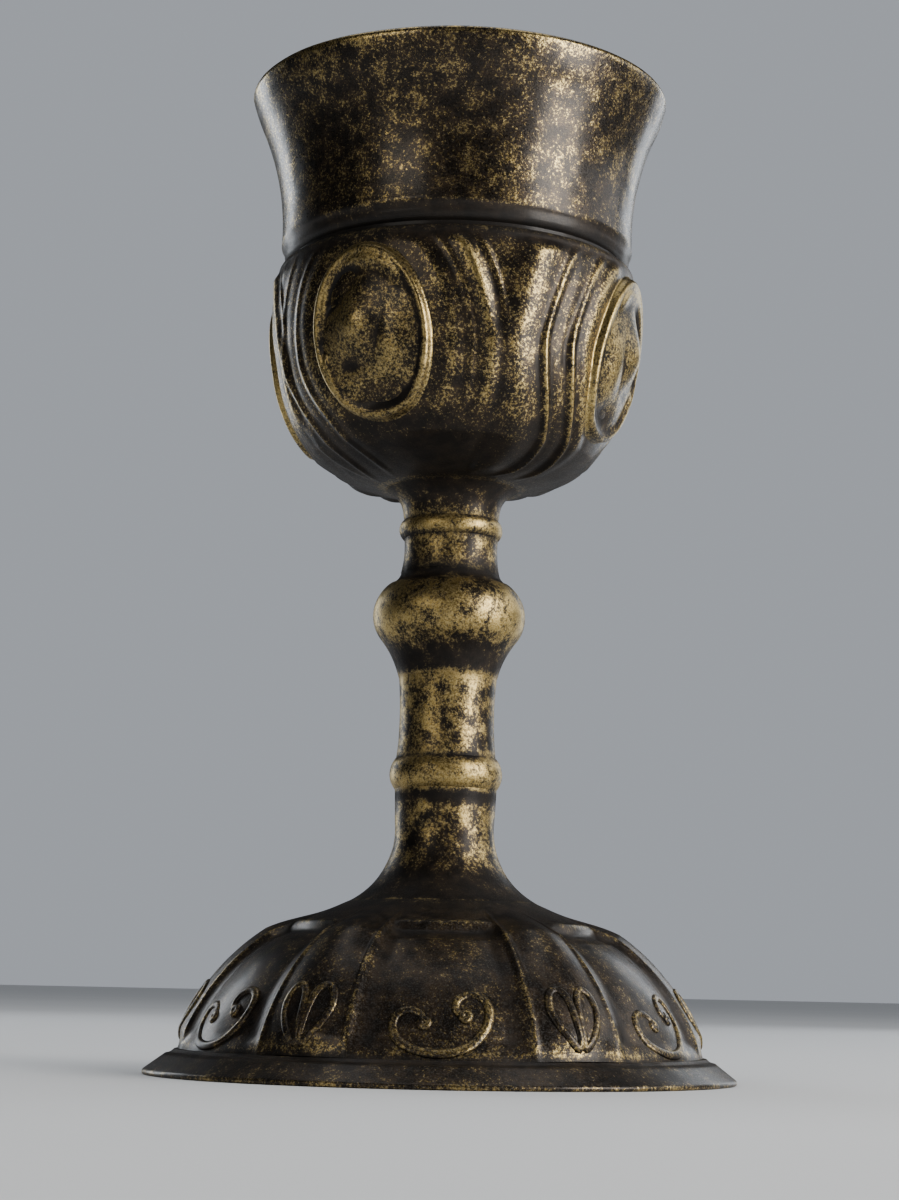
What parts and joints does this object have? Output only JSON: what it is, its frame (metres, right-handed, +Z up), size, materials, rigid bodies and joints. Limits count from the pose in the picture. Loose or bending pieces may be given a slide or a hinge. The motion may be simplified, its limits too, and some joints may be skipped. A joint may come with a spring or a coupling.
{
  "type": "ciborium vessel",
  "caption": "Small lidless ciborium cup of dark bronze: bell-mouthed bowl in a scrolled calyx, knopped stem and lobed domed foot with a flat flange.",
  "frame": {"origin": "centre of the foot's underside, on the surface it stands on", "axes": "+Z up along the stem, -Y towards the front panel of the foot"},
  "size_m": [0.0464, 0.0464, 0.08],
  "materials": {
    "bowl_bronze": "smooth dark bronze patina, satin gloss, fine gold speckle",
    "calyx_bronze": "cast dark bronze with ridges rubbed to gold",
    "stem_bronze": "turned bronze, most rubbed to gold on its rings",
    "foot_bronze": "cast dark bronze, dusty, gold on raised edges",
    "ornament_gold": "cast bronze ornament, rubbed to gold on its high points",
    "fastening_brass": "plain turned brass, dull"
  },
  "bodies": {
    "root": {"cup_bowl": "bowl_bronze", "cup_boss": "fastening_brass", "calyx_shell": "calyx_bronze", "upper_collar": "stem_bronze", "neck_ring": "stem_bronze", "neck_sleeve": "stem_bronze", "knop": "stem_bronze", "stem_shaft": "stem_bronze", "lower_ring": "stem_bronze", "foot_trumpet": "stem_bronze", "foot_dome": "foot_bronze", "foot_flange": "foot_bronze", "clamp_washer": "fastening_brass", "tie_rod": "fastening_brass", "clamp_nut": "fastening_brass", "volute_plaque_1": "calyx_bronze", "volute_plaque_2": "calyx_bronze", "volute_plaque_3": "calyx_bronze", "volute_plaque_4": "calyx_bronze", "foot_scroll_1": "ornament_gold", "foot_leaf_1": "ornament_gold", "foot_scroll_2": "ornament_gold", "foot_leaf_2": "ornament_gold", "foot_scroll_3": "ornament_gold", "foot_leaf_3": "ornament_gold", "foot_scroll_4": "ornament_gold", "foot_leaf_4": "ornament_gold", "foot_scroll_5": "ornament_gold", "foot_leaf_5": "ornament_gold", "foot_scroll_6": "ornament_gold", "foot_leaf_6": "ornament_gold"}
  },
  "joints": []
}
